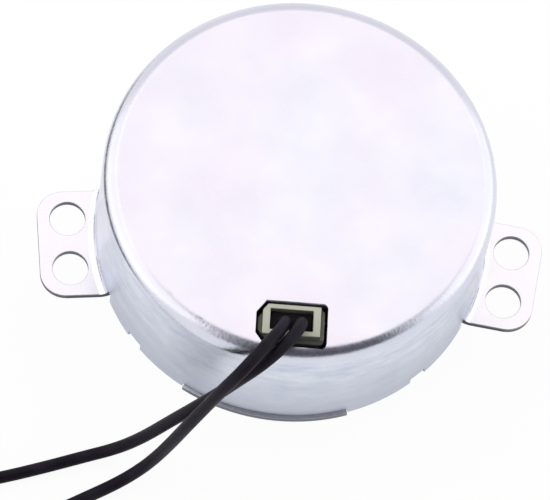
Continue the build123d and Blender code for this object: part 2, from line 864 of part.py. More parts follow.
def make_lead_tips():
    """Tinned ends of the two leads, in line with their last runs."""
    tips = []
    for points in (left_lead_points, right_lead_points):
        end = Vector(*points[-1])
        direction = (end - Vector(*points[-2])).normalized()
        section = Plane(origin=end, z_dir=direction) * Circle(lead_tip_diameter / 2)
        tips.append(extrude(section, lead_tip_length))
    return tips


def solids_of(shape):
    """Solids of one piece, or of a group of pieces."""
    pieces = shape if isinstance(shape, list) else [shape]
    return [solid for piece in pieces for solid in piece.solids()]


def write_node(name, shape):
    """Write one node as its own file."""
    solids = solids_of(shape)
    node = solids[0] if len(solids) == 1 else Compound(children=solids)
    node.label = name
    export_step(node, os.path.join("parts", name + ".step"))


def main():
    """Build every piece and write it."""
    os.makedirs("parts", exist_ok=True)
    write_node("rear_can", make_rear_can())
    write_node("front_plate", make_front_plate())
    write_node("gear_plate", make_gear_plate())
    write_node("spacer_posts", make_spacer_posts())
    write_node("front_pole_plate", make_front_pole_plate())
    write_node("rear_pole_plate", make_rear_pole_plate())
    write_node("coil_bobbin", make_coil_bobbin())
    write_node("coil_winding", make_coil_winding())
    write_node("coil_wrap", make_coil_wrap())
    write_node("terminal_pins", make_terminal_pins())
    write_node("plug_housing", make_plug_housing())
    write_node("crimp_terminals", make_crimp_terminals())
    write_node("rotor_magnet", make_rotor_magnet())
    write_node("rotor_hub", make_rotor_hub())
    write_node("rotor_pin", make_rotor_pin())
    write_node("rotor_washer", make_rotor_washer())
    write_node("first_gear", make_first_gear())
    write_node("second_gear", make_second_gear())
    write_node("third_gear", make_third_gear())
    for name, axis in zip(("first", "second", "third"), gear_pin_axes):
        write_node(name + "_gear_pin", make_gear_pin(axis))
    write_node("output_gear", make_output_gear())
    write_node("output_shaft", make_output_shaft())
    write_node("shaft_bush", make_shaft_bush())
    write_node("shaft_washer", make_shaft_washer())
    write_node("lead_left", make_lead("left lead", left_lead_points))
    write_node("lead_right", make_lead("right lead", right_lead_points))
    write_node("lead_tips", make_lead_tips())


main()
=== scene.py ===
"""Looks of a flat synchronous gear motor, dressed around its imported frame.

Class fields give lengths in millimetres and angles in degrees. Blender's own lengths are in metres.
"""

import json
import logging
import math
from dataclasses import dataclass
from enum import Enum

import bmesh
import bpy
from mathutils import Matrix, Vector

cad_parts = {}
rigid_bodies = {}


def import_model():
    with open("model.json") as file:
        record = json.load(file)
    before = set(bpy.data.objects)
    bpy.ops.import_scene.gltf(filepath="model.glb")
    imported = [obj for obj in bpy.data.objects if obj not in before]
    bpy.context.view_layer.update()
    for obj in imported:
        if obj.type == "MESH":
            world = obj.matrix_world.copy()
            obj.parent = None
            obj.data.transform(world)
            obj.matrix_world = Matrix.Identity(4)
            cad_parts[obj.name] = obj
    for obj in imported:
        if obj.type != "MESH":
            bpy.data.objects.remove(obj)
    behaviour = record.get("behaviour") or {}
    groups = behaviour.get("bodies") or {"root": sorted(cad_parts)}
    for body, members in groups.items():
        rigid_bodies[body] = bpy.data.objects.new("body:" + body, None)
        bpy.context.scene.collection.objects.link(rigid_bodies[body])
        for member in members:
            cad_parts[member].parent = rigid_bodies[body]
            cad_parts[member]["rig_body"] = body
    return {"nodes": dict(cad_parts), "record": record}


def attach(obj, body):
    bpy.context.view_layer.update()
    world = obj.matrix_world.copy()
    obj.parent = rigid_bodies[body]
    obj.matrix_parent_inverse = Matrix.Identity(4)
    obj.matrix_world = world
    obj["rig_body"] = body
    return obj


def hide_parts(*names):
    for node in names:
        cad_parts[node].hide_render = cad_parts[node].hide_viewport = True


LOG = logging.getLogger("gear_motor")
MM = 0.001

# The sRGB curve of a level: a straight foot, and above it a power
FULL_LEVEL = 255
FOOT_END = 0.04045
FOOT_SLOPE = 12.92
CURVE_OFFSET = 0.055
CURVE_POWER = 2.4

# Sockets of a Mix node, whose names are shared: two for numbers, two for colours and the mixed colour
NUMBER_A = 2
NUMBER_B = 3
COLOUR_A = 6
COLOUR_B = 7
MIXED_COLOUR = 2

# Most of a noise lies between these values, so patterns spread from one to the other
NOISE_SPREAD = {"From Min": 0.3, "From Max": 0.7}

# Octaves of a noise: soft for a grain or a tint, fuller for patches, rich for clouds
SOFT_DETAIL = 2.0
PATCH_DETAIL = 3.0
CLOUD_DETAIL = 5.0

# Scale that drops the height of a place and keeps its X and Y
IN_PLAN = (1.0, 1.0, 0.0)

Colour = tuple[float, float, float, float]
Point = tuple[float, float, float]
Zone = tuple[Point, Point]
Socket = bpy.types.NodeSocket


def linear_colour(code: str) -> Colour:
    """Turn an sRGB hex value into a linear colour.

    Args:
        code: Six hex digits after a hash sign.

    Returns:
        Red, green, blue and an alpha of one.
    """
    shares = [level / FULL_LEVEL for level in bytes.fromhex(code[1:])]
    red, green, blue = (
        share / FOOT_SLOPE if share <= FOOT_END
        else ((share + CURVE_OFFSET) / (1 + CURVE_OFFSET)) ** CURVE_POWER
        for share in shares
    )
    return (red, green, blue, 1.0)


def per_metre(size: float) -> float:
    """Scale of a pattern whose features are this many millimetres across."""
    return 1 / (size * MM)


def add_node(
    tree: bpy.types.NodeTree, kind: str, inputs: dict | None = None, **settings: str
) -> bpy.types.Node:
    """Add a node, give it its settings and set or link its inputs.

    Args:
        tree: Node tree that takes the node.
        kind: Blender's name for the type of node, after the word ShaderNode.
        inputs: Names or numbers of its sockets, each with a value, a hex colour or the socket that feeds it.
        settings: Attributes of the node and their values.

    Returns:
        The new node.
    """
    node = tree.nodes.new("ShaderNode" + kind)
    for key, value in settings.items():
        setattr(node, key, value)
    for key, value in (inputs or {}).items():
        if isinstance(value, Socket):
            tree.links.new(value, node.inputs[key])
        else:
            node.inputs[key].default_value = linear_colour(value) if isinstance(value, str) else value
    return node


def start_nodes(holder: bpy.types.Material | bpy.types.World) -> bpy.types.NodeTree:
    """Let a material or a world use nodes, and clear those that it starts with.

    Args:
        holder: The material or world.

    Returns:
        Its empty node tree.
    """
    holder.use_nodes = True
    holder.node_tree.nodes.clear()
    return holder.node_tree


def add_object(name: str, data: bpy.types.ID) -> bpy.types.Object:
    """Add an object to the scene.

    Args:
        name: Name of the object.
        data: Its mesh, curve, lamp or camera.

    Returns:
        The new object.
    """
    made = bpy.data.objects.new(name, data)
    bpy.context.scene.collection.objects.link(made)
    return made


def add_mesh(name: str, shape: bmesh.types.BMesh) -> bpy.types.Object:
    """Add a finished shape to the scene.

    Args:
        name: Name of the object and of its mesh.
        shape: The shape, which is freed.

    Returns:
        The new object.
    """
    mesh = bpy.data.meshes.new(name)
    shape.to_mesh(mesh)
    shape.free()
    return add_object(name, mesh)


@dataclass
class Surface:
    """Nodes of one material: their tree, its shader, and each point's place and normal."""

    tree: bpy.types.NodeTree
    shader: bpy.types.Node
    place: Socket
    normal: Socket

    def fix(self, values: dict[str, float]) -> None:
        """Set what is the same all over the surface on the shader's own sockets."""
        for key, value in values.items():
            self.shader.inputs[key].default_value = value

    def feed(self, key: str, source: Socket) -> None:
        """Link a socket that varies over the surface to one of the shader's."""
        self.tree.links.new(source, self.shader.inputs[key])

    def mottle(self, size: float, light: str, dark: str, place: Socket | None = None) -> Socket:
        """Colour the surface with soft patches of two shades.

        Args:
            size: Width of a patch.
            light: Hex colour of the surface.
            dark: Hex colour of the patches.
            place: Coordinates to use in place of the surface's own.

        Returns:
            Socket with the share of the dark patches, from zero to one.
        """
        noise = add_node(
            self.tree,
            "TexNoise",
            {"Vector": place or self.place, "Scale": per_metre(size), "Detail": PATCH_DETAIL},
        ).outputs["Fac"]
        share = add_node(self.tree, "MapRange", {"Value": noise, **NOISE_SPREAD}).outputs["Result"]
        mixed = add_node(
            self.tree, "Mix", {"Factor": share, COLOUR_A: light, COLOUR_B: dark}, data_type="RGBA"
        )
        self.feed("Base Color", mixed.outputs[MIXED_COLOUR])
        return share

    def emboss(self, size: float, depth: float, place: Socket | None = None) -> bpy.types.Node:
        """Raise a fine random grain on the surface.

        Args:
            size: Width of the grain.
            depth: Height of the grain.
            place: Coordinates to use in place of the surface's own.

        Returns:
            The bump node, whose strength a finish may vary.
        """
        noise = add_node(
            self.tree,
            "TexNoise",
            {"Vector": place or self.place, "Scale": per_metre(size), "Detail": SOFT_DETAIL},
        ).outputs["Fac"]
        bump = add_node(self.tree, "Bump", {"Height": noise, "Distance": depth * MM})
        self.feed("Normal", bump.outputs["Normal"])
        return bump

    def mark(self, size: float, depth: float, light: str, dark: str, place: Socket | None = None) -> None:
        """Mottle and emboss the surface with marks of the same size."""
        self.mottle(size, light, dark, place)
        self.emboss(size, depth, place)


class Finish:
    """A surface finish, which makes one material."""

    name: str

    def material(self) -> bpy.types.Material:
        """Make the material, with its pattern on Object coordinates.

        Returns:
            The new material.
        """
        made = bpy.data.materials.new(self.name)
        made.use_nodes = True
        tree = made.node_tree
        points = add_node(tree, "TexCoord").outputs
        self.dress(Surface(tree, tree.nodes["Principled BSDF"], points["Object"], points["Normal"]))
        return made

    def dress(self, surface: Surface) -> None:
        """Set the shader's values and link its pattern, which each finish does in its own way."""
        raise NotImplementedError


@dataclass(frozen=True)
class BluePassivatedZinc(Finish):
    """Bright zinc plate on steel sheet, blue passivated.

    The eye sees a pale bluish metal with cloudy tints from the passivation. The drawn wall has bright
    and blue streaks round it, and painted shade darkens it towards its mouth, where it reflects the shadowed
    floor. The stretched corner and wall have an orange peel that breaks up the edge of each reflection.
    Sheared edges are dark, partly as dull cut steel and partly as painted shade of the shadowed floor they
    reflect.
    """

    name: str = "blue_passivated_zinc"
    pale: str = "#DCDCE7"
    cool: str = "#D2D7E4"
    rosy: str = "#DED4E1"
    burnished: str = "#E6E9F2"
    drawn: str = "#C0C8DA"
    # Painted shade of the shadowed floor, which the wall reflects near its mouth
    reflected_shadow: str = "#B9BECC"
    pressed: str = "#E0DFE6"
    # Dark of the cut edges: partly dull cut steel, partly painted shade of the shadowed floor they reflect
    sheared_and_shaded: str = "#303137"
    cloud_size: float = 7.0
    tint_size: float = 13.0
    tint_share: float = 0.6
    streak_length: float = 6.0
    streak_width: float = 2.4
    speckle_share: float = 0.72
    wall_radius: float = 25.0
    drawn_least: float = 0.05
    drawn_most: float = 0.95
    ear_start: float = 22.0
    ear_end: float = 24.6
    shadow_start: float = 15.0
    shadow_end: float = 2.0
    pressed_top: float = 2.0
    sheared_from: float = 26.2
    sheared_blend: float = 0.1
    side_start: float = 0.6
    side_end: float = 0.3
    peel_size: float = 0.4
    peel_depth: float = 0.02
    flat_from: float = 0.95
    flat_peel_share: float = 0.1
    smooth: float = 0.2
    cloudy: float = 0.3
    drawn_from: float = 0.7
    drawn_dullness: float = 0.15

    def dress(self, surface: Surface) -> None:
        """Lay clouds and tints over the sheet, streaks and painted shade round its wall and dark grey on its
        edges.

        Args:
            surface: Nodes of the material.
        """
        tree = surface.tree
        surface.fix({"Metallic": 1.0})
        lean = add_node(tree, "SeparateXYZ", {"Vector": surface.normal}).outputs["Z"]
        level = add_node(tree, "Math", {0: lean}, operation="ABSOLUTE").outputs[0]
        upright = add_node(tree, "Math", {0: 1.0, 1: level}, operation="SUBTRACT").outputs[0]
        pattern = self.lay_pattern(surface, level)
        colour = self.tint(surface, pattern)
        colour = self.whiten_ears(surface, level, colour)
        colour = self.streak_and_shade_wall(surface, upright, pattern, colour)
        surface.feed("Base Color", self.grey_edges(surface, upright, colour))
        gloss = add_node(
            tree,
            "MapRange",
            {"Value": pattern, **NOISE_SPREAD, "To Min": self.smooth, "To Max": self.cloudy},
        ).outputs["Result"]
        dull = add_node(
            tree,
            "MapRange",
            {"Value": upright, "From Min": self.drawn_from, "To Max": self.drawn_dullness},
        ).outputs["Result"]
        surface.feed("Roughness", add_node(tree, "Math", {0: gloss, 1: dull}, operation="ADD").outputs[0])
        peel = surface.emboss(self.peel_size, self.peel_depth)
        strength = add_node(
            tree,
            "MapRange",
            {"Value": level, "From Min": self.flat_from, "To Min": 1.0, "To Max": self.flat_peel_share},
        ).outputs["Result"]
        tree.links.new(strength, peel.inputs["Strength"])

    def lay_pattern(self, surface: Surface, level: Socket) -> Socket:
        """Draw clouds on level faces, and streaks round upright ones.

        Args:
            surface: Nodes of the material.
            level: Socket that is one on a level face and zero on an upright one.

        Returns:
            Socket with the pattern, from zero to one.
        """
        tree = surface.tree
        parts = add_node(tree, "SeparateXYZ", {"Vector": surface.place}).outputs
        angle = add_node(tree, "Math", {0: parts["Y"], 1: parts["X"]}, operation="ARCTAN2").outputs[0]
        shrunk_radius = self.wall_radius * MM * self.streak_width / self.streak_length
        arc = add_node(tree, "Math", {0: angle, 1: shrunk_radius}, operation="MULTIPLY").outputs[0]
        unrolled = add_node(tree, "CombineXYZ", {"X": arc, "Y": parts["Z"]}).outputs[0]
        streaks = add_node(
            tree,
            "TexNoise",
            {
                "Vector": unrolled,
                "Scale": per_metre(self.streak_width),
                "Detail": CLOUD_DETAIL,
                "Roughness": self.speckle_share,
            },
        ).outputs["Fac"]
        clouds = add_node(
            tree,
            "TexNoise",
            {"Vector": surface.place, "Scale": per_metre(self.cloud_size), "Detail": CLOUD_DETAIL},
        ).outputs["Fac"]
        return add_node(
            tree, "Mix", {"Factor": level, NUMBER_A: streaks, NUMBER_B: clouds}, data_type="FLOAT"
        ).outputs[0]

    def tint(self, surface: Surface, pattern: Socket) -> Socket:
        """Mix the plate's pale, cool and rosy tints.

        Args:
            surface: Nodes of the material.
            pattern: Clouds and streaks.

        Returns:
            Socket with the colour.
        """
        tree = surface.tree
        cloud = add_node(tree, "MapRange", {"Value": pattern, **NOISE_SPREAD}).outputs["Result"]
        cloudy = add_node(
            tree, "Mix", {"Factor": cloud, COLOUR_A: self.pale, COLOUR_B: self.cool}, data_type="RGBA"
        ).outputs[MIXED_COLOUR]
        wide = add_node(
            tree,
            "TexNoise",
            {"Vector": surface.place, "Scale": per_metre(self.tint_size), "Detail": SOFT_DETAIL},
        ).outputs["Fac"]
        share = add_node(
            tree, "MapRange", {"Value": wide, **NOISE_SPREAD, "To Max": self.tint_share}
        ).outputs["Result"]
        return add_node(
            tree, "Mix", {"Factor": share, COLOUR_A: cloudy, COLOUR_B: self.rosy}, data_type="RGBA"
        ).outputs[MIXED_COLOUR]

    def whiten_ears(self, surface: Surface, level: Socket, colour: Socket) -> Socket:
        """Whiten the level faces near the mouth, which the press has flattened and brightened.

        Args:
            surface: Nodes of the material.
            level: Socket that is one on a level face.
            colour: Colour of the plate.

        Returns:
            Socket with the colour.
        """
        tree = surface.tree
        height = add_node(tree, "SeparateXYZ", {"Vector": surface.place}).outputs["Z"]
        low = add_node(
            tree, "Math", {0: height, 1: self.pressed_top * MM}, operation="LESS_THAN"
        ).outputs[0]
        share = add_node(tree, "Math", {0: low, 1: level}, operation="MULTIPLY").outputs[0]
        return add_node(
            tree, "Mix", {"Factor": share, COLOUR_A: colour, COLOUR_B: self.pressed}, data_type="RGBA"
        ).outputs[MIXED_COLOUR]

    def streak_and_shade_wall(self, surface: Surface, upright: Socket, pattern: Socket, colour: Socket) -> Socket:
        """Brighten the drawn wall, streak it blue and paint shade on it towards its mouth, for the shadowed
        floor that it reflects there.

        The streaks and the painted shade fade out next to the ears.

        Args:
            surface: Nodes of the material.
            upright: Socket that is one on an upright face.
            pattern: Clouds and streaks.
            colour: Colour of the plate.

        Returns:
            Socket with the colour.
        """
        tree = surface.tree
        parts = add_node(tree, "SeparateXYZ", {"Vector": surface.place}).outputs
        aside = add_node(tree, "Math", {0: parts["X"]}, operation="ABSOLUTE").outputs[0]
        clear = add_node(
            tree,
            "MapRange",
            {"Value": aside, "From Min": self.ear_end * MM, "From Max": self.ear_start * MM},
        ).outputs["Result"]
        wall = add_node(tree, "Math", {0: clear, 1: upright}, operation="MULTIPLY").outputs[0]
        streaks = add_node(
            tree,
            "MapRange",
            {"Value": pattern, **NOISE_SPREAD, "To Min": self.drawn_least, "To Max": self.drawn_most},
        ).outputs["Result"]
        bluish = add_node(tree, "Math", {0: wall, 1: streaks}, operation="MULTIPLY").outputs[0]
        bright = add_node(
            tree, "Mix", {"Factor": upright, COLOUR_A: colour, COLOUR_B: self.burnished}, data_type="RGBA"
        ).outputs[MIXED_COLOUR]
        drawn = add_node(
            tree, "Mix", {"Factor": bluish, COLOUR_A: bright, COLOUR_B: self.drawn}, data_type="RGBA"
        ).outputs[MIXED_COLOUR]
        # Painted shade: the wall darkens towards its mouth, as the shadowed floor it reflects there would
        # make it
        shadowed = add_node(
            tree,
            "MapRange",
            {"Value": parts["Z"], "From Min": self.shadow_start * MM, "From Max": self.shadow_end * MM},
        ).outputs["Result"]
        share = add_node(tree, "Math", {0: shadowed, 1: wall}, operation="MULTIPLY").outputs[0]
        return add_node(
            tree, "Mix", {"Factor": share, COLOUR_A: drawn, COLOUR_B: self.reflected_shadow}, data_type="RGBA"
        ).outputs[MIXED_COLOUR]

    def grey_edges(self, surface: Surface, upright: Socket, colour: Socket) -> Socket:
        """Darken the sheared edges, which stand outside the wall or face along it, partly as dull cut steel
        and partly as painted shade of the shadowed floor that they reflect.

        Args:
            surface: Nodes of the material.
            upright: Socket that is one on an upright face.
            colour: Colour of the plate.

        Returns:
            Socket with the colour.
        """
        tree = surface.tree
        plan = add_node(tree, "Mapping", {"Vector": surface.place, "Scale": IN_PLAN}).outputs["Vector"]
        reach = add_node(tree, "VectorMath", {0: plan}, operation="LENGTH").outputs["Value"]
        blend_end = self.sheared_from + self.sheared_blend
        outside = add_node(
            tree,
            "MapRange",
            {"Value": reach, "From Min": self.sheared_from * MM, "From Max": blend_end * MM},
        ).outputs["Result"]
        outward = add_node(tree, "VectorMath", {0: plan}, operation="NORMALIZE").outputs["Vector"]
        facing = add_node(
            tree, "VectorMath", {0: outward, 1: surface.normal}, operation="DOT_PRODUCT"
        ).outputs["Value"]
        turned = add_node(tree, "Math", {0: facing}, operation="ABSOLUTE").outputs[0]
        sideways = add_node(
            tree, "MapRange", {"Value": turned, "From Min": self.side_start, "From Max": self.side_end}
        ).outputs["Result"]
        either = add_node(tree, "Math", {0: outside, 1: sideways}, operation="MAXIMUM").outputs[0]
        share = add_node(tree, "Math", {0: either, 1: upright}, operation="MULTIPLY").outputs[0]
        # Painted shade mixed with the dull cut steel on the sheared edges
        return add_node(
            tree, "Mix", {"Factor": share, COLOUR_A: colour, COLOUR_B: self.sheared_and_shaded}, data_type="RGBA"
        ).outputs[MIXED_COLOUR]


@dataclass(frozen=True)
class RolledSteel(Finish):
    """Cold rolled steel sheet, plain and faintly oiled, which shows fine lines from the rolls.

    The lines are drawn coarser than the real ones, so that they show.
    """

    name: str = "cold_rolled_steel"
    light: str = "#C4C6C9"
    dark: str = "#A3A5A9"
    line_length: float = 9.0
    line_width: float = 0.25
    line_depth: float = 0.003
    roughness: float = 0.34

    def dress(self, surface: Surface) -> None:
        """Draw the rolls' lines along X.

        Args:
            surface: Nodes of the material.
        """
        stretch = (self.line_width / self.line_length, 1.0, 1.0)
        lines = add_node(surface.tree, "Mapping", {"Vector": surface.place, "Scale": stretch})
        surface.mark(self.line_width, self.line_depth, self.light, self.dark, lines.outputs["Vector"])
        surface.fix({"Metallic": 1.0, "Roughness": self.roughness})


@dataclass(frozen=True)
class TurnedMetal(Finish):
    """Metal turned on a lathe about an upright axis, which leaves fine level rings.

    The rings are drawn coarser than a real feed, so that they show.
    """

    name: str
    light: str
    dark: str
    roughness: float
    ring_length: float = 7.5
    ring_pitch: float = 0.3
    ring_depth: float = 0.002

    def dress(self, surface: Surface) -> None:
        """Draw level rings, which vary in Z almost alone.

        Args:
            surface: Nodes of the material.
        """
        across = self.ring_pitch / self.ring_length
        stretch = (across, across, 1.0)
        rings = add_node(surface.tree, "Mapping", {"Vector": surface.place, "Scale": stretch})
        surface.mark(self.ring_pitch, self.ring_depth, self.light, self.dark, rings.outputs["Vector"])
        surface.fix({"Metallic": 1.0, "Roughness": self.roughness})


@dataclass(frozen=True)
class MouldedPlastic(Finish):
    """Moulded engineering plastic, with a fine spark eroded grain and slight flow marks.

    The grain is drawn coarser than the real one, so that it shows.
    """

    name: str
    light: str
    dark: str
    roughness: float
    ior: float
    gloss: float = 0.5
    flow_size: float = 4.0
    grain_size: float = 0.18
    grain_depth: float = 0.006

    def dress(self, surface: Surface) -> None:
        """Lay flow marks in the colour and a grain in the relief.

        Args:
            surface: Nodes of the material.
        """
        surface.mottle(self.flow_size, self.light, self.dark)
        surface.emboss(self.grain_size, self.grain_depth)
        surface.fix({"Roughness": self.roughness, "IOR": self.ior, "Specular IOR Level": self.gloss})


@dataclass(frozen=True)
class RimmedNylon(MouldedPlastic):
    """Moulded nylon with painted light on its rim, and painted shade on the near side of its recess."""

    # Painted light on the rim's top, which faces the lamps above
    lit_rim: str = "#BDBDAF"
    rim_level: float = 19.2
    rim_blend: float = 0.08
    # Painted shade on the near side of the recess
    shaded_lip: str = "#4A4D49"
    lip_side: float = -21.5
    lip_blend: float = 0.15

    def dress(self, surface: Surface) -> None:
        """Dress the nylon, then mix the painted shade of the near lip and the painted light of the rim over
        its colour.

        Args:
            surface: Nodes of the material.
        """
        super().dress(surface)
        tree = surface.tree
        moulded = surface.shader.inputs["Base Color"].links[0].from_socket
        parts = add_node(tree, "SeparateXYZ", {"Vector": surface.place}).outputs
        # Painted shade: the near side of the recess darkens
        lip_end = self.lip_side - self.lip_blend
        near = add_node(
            tree,
            "MapRange",
            {"Value": parts["Y"], "From Min": self.lip_side * MM, "From Max": lip_end * MM},
        ).outputs["Result"]
        shaded = add_node(
            tree, "Mix", {"Factor": near, COLOUR_A: moulded, COLOUR_B: self.shaded_lip}, data_type="RGBA"
        ).outputs[MIXED_COLOUR]
        # Painted light: the rim above this height is paler than the recess
        rim_end = self.rim_level + self.rim_blend
        share = add_node(
            tree,
            "MapRange",
            {"Value": parts["Z"], "From Min": self.rim_level * MM, "From Max": rim_end * MM},
        ).outputs["Result"]
        mixed = add_node(
            tree, "Mix", {"Factor": share, COLOUR_A: shaded, COLOUR_B: self.lit_rim}, data_type="RGBA"
        )
        surface.feed("Base Color", mixed.outputs[MIXED_COLOUR])


@dataclass(frozen=True)
class WoundCopper(Finish):
    """Enamelled copper wire wound in level turns, which shows reddish under its clear coat."""

    name: str = "enamelled_copper_wire"
    light: str = "#C9733C"
    dark: str = "#7A3515"
    turn_pitch: float = 0.28
    turn_depth: float = 0.05
    turn_unevenness: float = 0.4
    roughness: float = 0.3
    coat: float = 0.6

    def dress(self, surface: Surface) -> None:
        """Draw one band for each turn of the wire.

        Args:
            surface: Nodes of the material.
        """
        tree = surface.tree
        turns = add_node(
            tree,
            "TexWave",
            {
                "Vector": surface.place,
                "Scale": per_metre(self.turn_pitch) / math.tau,
                "Distortion": self.turn_unevenness,
            },
            bands_direction="Z",
        ).outputs["Fac"]
        mixed = add_node(
            tree, "Mix", {"Factor": turns, COLOUR_A: self.dark, COLOUR_B: self.light}, data_type="RGBA"
        )
        bump = add_node(tree, "Bump", {"Height": turns, "Distance": self.turn_depth * MM})
        surface.feed("Base Color", mixed.outputs[MIXED_COLOUR])
        surface.feed("Normal", bump.outputs["Normal"])
        surface.fix({"Metallic": 1.0, "Roughness": self.roughness, "Coat Weight": self.coat})


@dataclass(frozen=True)
class CoilTape(Finish):
    """Yellow polyester tape, a glossy film with faint creases."""

    name: str = "polyester_coil_tape"
    light: str = "#E2B84C"
    dark: str = "#C4962E"
    crease_size: float = 1.8
    crease_depth: float = 0.03
    roughness: float = 0.22
    ior: float = 1.57

    def dress(self, surface: Surface) -> None:
        """Crease the film."""
        surface.mark(self.crease_size, self.crease_depth, self.light, self.dark)
        surface.fix({"Roughness": self.roughness, "IOR": self.ior})


@dataclass(frozen=True)
class SinteredFerrite(Finish):
    """Sintered ferrite, ground outside: a dark grey ceramic with pits between its grains."""

    name: str = "sintered_ferrite"
    light: str = "#4A4A4E"
    dark: str = "#2C2C30"
    grain_size: float = 0.35
    grain_depth: float = 0.02
    roughness: float = 0.55
    ior: float = 2.4

    def dress(self, surface: Surface) -> None:
        """Scatter grains and pits."""
        surface.mark(self.grain_size, self.grain_depth, self.light, self.dark)
        surface.fix({"Roughness": self.roughness, "IOR": self.ior})


@dataclass(frozen=True)
class TinPlate(Finish):
    """Bright tin on brass or copper, soft and white, with handling marks."""

    name: str
    light: str = "#D8D6D0"
    dark: str = "#AFACA5"
    mark_size: float = 0.6
    mark_depth: float = 0.004
    roughness: float = 0.26

    def dress(self, surface: Surface) -> None:
        """Mark the soft tin."""
        surface.mark(self.mark_size, self.mark_depth, self.light, self.dark)
        surface.fix({"Metallic": 1.0, "Roughness": self.roughness})


@dataclass(frozen=True)
class ExtrudedPvc(Finish):
    """Soft black PVC insulation, extruded: a satin skin with dusty patches and a slight waviness."""

    name: str = "extruded_pvc"
    light: str = "#231E29"
    dark: str = "#15121A"
    dust_size: float = 2.6
    wave_size: float = 0.5
    wave_depth: float = 0.012
    sleek: float = 0.42
    dusty: float = 0.58
    ior: float = 1.54
    gloss: float = 0.07

    def dress(self, surface: Surface) -> None:
        """Vary the gloss and the colour together, as dust does.

        Args:
            surface: Nodes of the material.
        """
        clean = surface.mottle(self.dust_size, self.light, self.dark)
        surface.emboss(self.wave_size, self.wave_depth)
        satin = add_node(
            surface.tree, "MapRange", {"Value": clean, "To Min": self.dusty, "To Max": self.sleek}
        )
        surface.feed("Roughness", satin.outputs["Result"])
        surface.fix({"IOR": self.ior, "Specular IOR Level": self.gloss})


# A copy of a solid is welded within this distance, and faces within this angle become one
WELD_DISTANCE = 0.0005
FLAT_ANGLE = 0.2

# An edge that turns by more than this is rounded, in this many steps
SHARP_ANGLE = 32.0
EDGE_STEPS = 2

# How much more the large faces count in the shading of a rounded edge
LARGE_FACE_WEIGHT = 100

# Steps of a bend's outline are shorter than this many edge breaks, and rise by more than this slope
SHORT_EDGE_SHARE = 1.5
BEND_SLOPE = 0.1


def stays_sharp(edge: bmesh.types.BMEdge, edge_break: float, zone: Zone | None) -> bool:
    """Say whether an edge can't be rounded, because the round would fold over small faces.

    Args:
        edge: Edge of a welded copy.
        edge_break: Width of the rounded edges.
        zone: Lowest and highest corner of a box whose edges all stay sharp.

    Returns:
        True for a short step of a bend's outline and for an edge in the zone.
    """
    start, end = (corner.co / MM for corner in edge.verts)
    run = end - start
    short = run.length < SHORT_EDGE_SHARE * edge_break
    if short and abs(run.z) > BEND_SLOPE * run.length:
        return True
    if zone is None:
        return False
    middle = (start + end) / 2
    return all(low < part < high for low, part, high in zip(zone[0], middle, zone[1]))


class Workshop:
    """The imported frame, and what every sub-assembly does with its nodes."""

    def __init__(self) -> None:
        """Load the frame and read which slot each node takes."""
        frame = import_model()
        self.nodes: dict[str, bpy.types.Object] = frame["nodes"]
        self.slots = {part["node"]: part["material_slot"] for part in frame["record"]["subparts"]}

    def paint(self, material: bpy.types.Material, *names: str) -> None:
        """Give CAD nodes a material.

        Args:
            material: Material to assign.
            names: Nodes that take it.
        """
        for name in names:
            self.assign(self.nodes[name], material)
            LOG.info("%s keeps its solid, in %s", name, material.name)

    def assign(self, piece: bpy.types.Object, material: bpy.types.Material) -> None:
        """Make a material the only one of a piece."""
        piece.data.materials.clear()
        piece.data.materials.append(material)

    def stand_for(self, piece: bpy.types.Object, name: str) -> bpy.types.Object:
        """Let a piece take the place of a CAD node, with its body.

        Args:
            piece: Finished piece, at the origin.
            name: Node that it stands for.

        Returns:
            The same piece.
        """
        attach(piece, self.nodes[name]["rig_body"])
        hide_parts(name)
        LOG.info("%s stands for %s", piece.name, name)
        return piece

    def polish(
        self,
        name: str,
        title: str,
        material: bpy.types.Material,
        edge_break: float,
        sharp_zone: Zone | None = None,
    ) -> bpy.types.Object:
        """Weld a copy of a CAD node, round its edges and shade it smooth.

        Args:
            name: Node to copy.
            title: Name of the new piece.
            material: Material of the new piece.
            edge_break: Width of the rounded edges.
            sharp_zone: Box whose edges aren't rounded.

        Returns:
            The piece, which stands for the node.
        """
        shape = bmesh.new()
        shape.from_mesh(self.nodes[name].data)
        bmesh.ops.remove_doubles(shape, verts=shape.verts, dist=WELD_DISTANCE * MM)
        bmesh.ops.dissolve_limit(
            shape, angle_limit=math.radians(FLAT_ANGLE), verts=shape.verts, edges=shape.edges
        )
        limit = math.radians(SHARP_ANGLE)
        edges = [edge for edge in shape.edges if edge.calc_face_angle(0.0) > limit]
        for edge in edges:
            edge.smooth = not stays_sharp(edge, edge_break, sharp_zone)
        bmesh.ops.bevel(
            shape,
            geom=[edge for edge in edges if edge.smooth],
            offset=edge_break * MM,
            segments=EDGE_STEPS,
            profile=0.5,
            affect="EDGES",
            material=-1,
            clamp_overlap=False,
        )
        for face in shape.faces:
            face.smooth = True
        piece = add_mesh(title, shape)
        self.assign(piece, material)
        weighted = piece.modifiers.new("even_normals", "WEIGHTED_NORMAL")
        weighted.weight = LARGE_FACE_WEIGHT
        weighted.keep_sharp = True
        return self.stand_for(piece, name)


